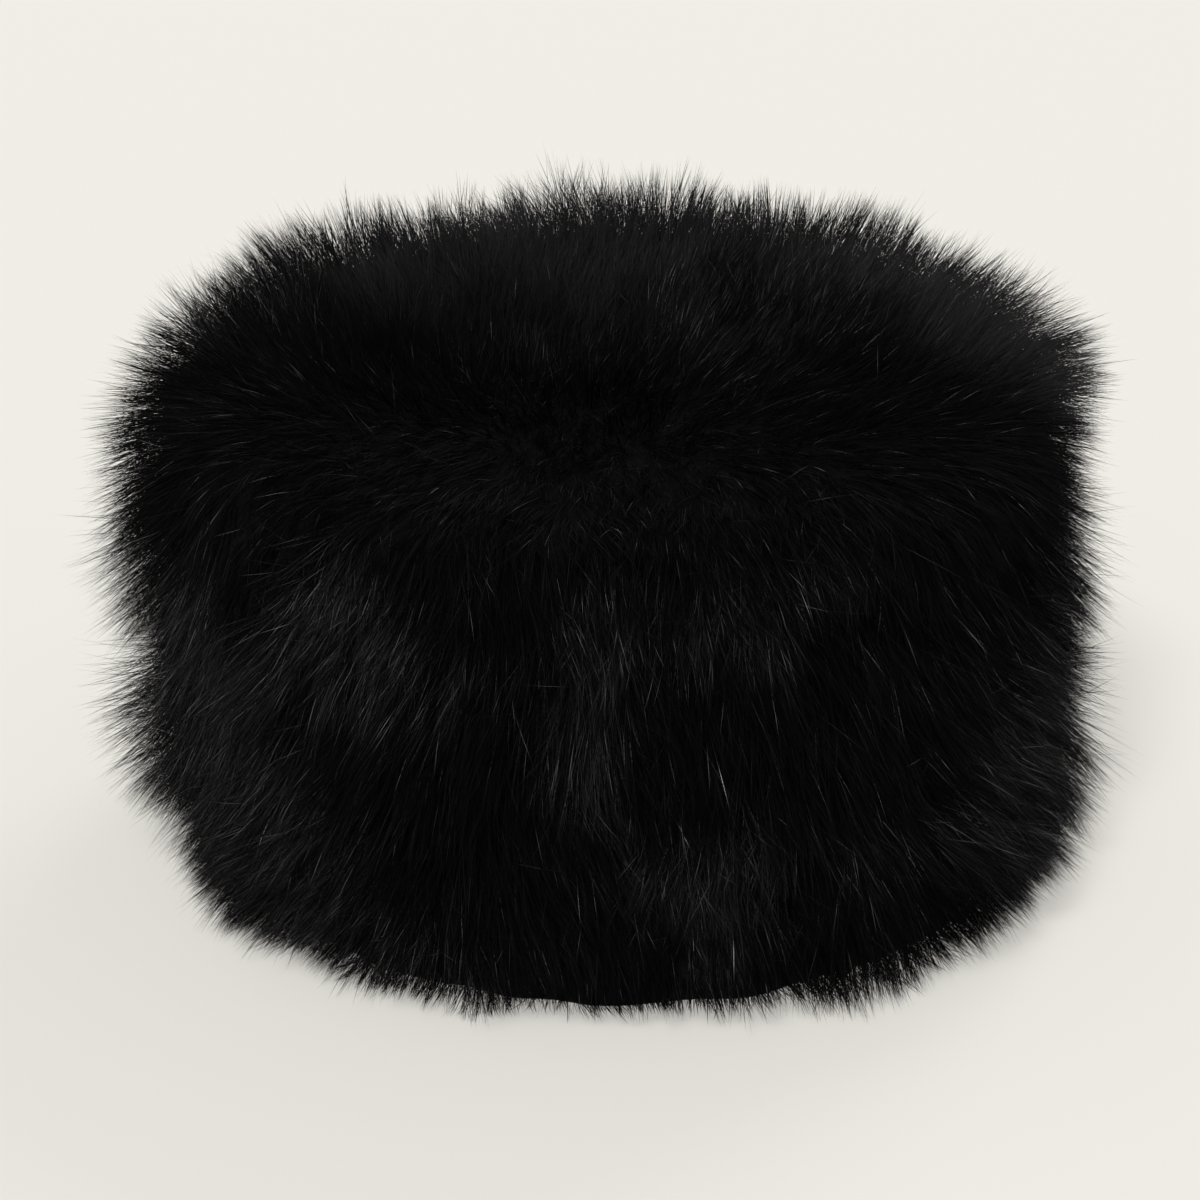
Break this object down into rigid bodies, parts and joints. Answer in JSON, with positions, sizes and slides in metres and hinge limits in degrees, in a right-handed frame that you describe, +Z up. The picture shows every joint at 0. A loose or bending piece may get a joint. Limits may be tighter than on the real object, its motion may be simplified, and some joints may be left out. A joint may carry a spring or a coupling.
{
  "type": "fur hat",
  "caption": "Tall round hat of long-pile black fur: a fur side band closed by a low domed fur crown, open below for the head.",
  "frame": {"origin": "centre of the hat's outline, on the ground that the rim stands on", "axes": "+Z up out of the crown, +Y from the front of the head to its back, +X to the side"},
  "size_m": [0.2596, 0.2786, 0.1525],
  "materials": {
    "backing_cloth": "matt knitted backing",
    "fur": "long black pile with a faint sheen"
  },
  "bodies": {
    "root": {"side_band_cloth": "backing_cloth", "crown_panel_cloth": "backing_cloth", "side_band_fur": "fur", "crown_panel_fur": "fur"}
  },
  "joints": []
}
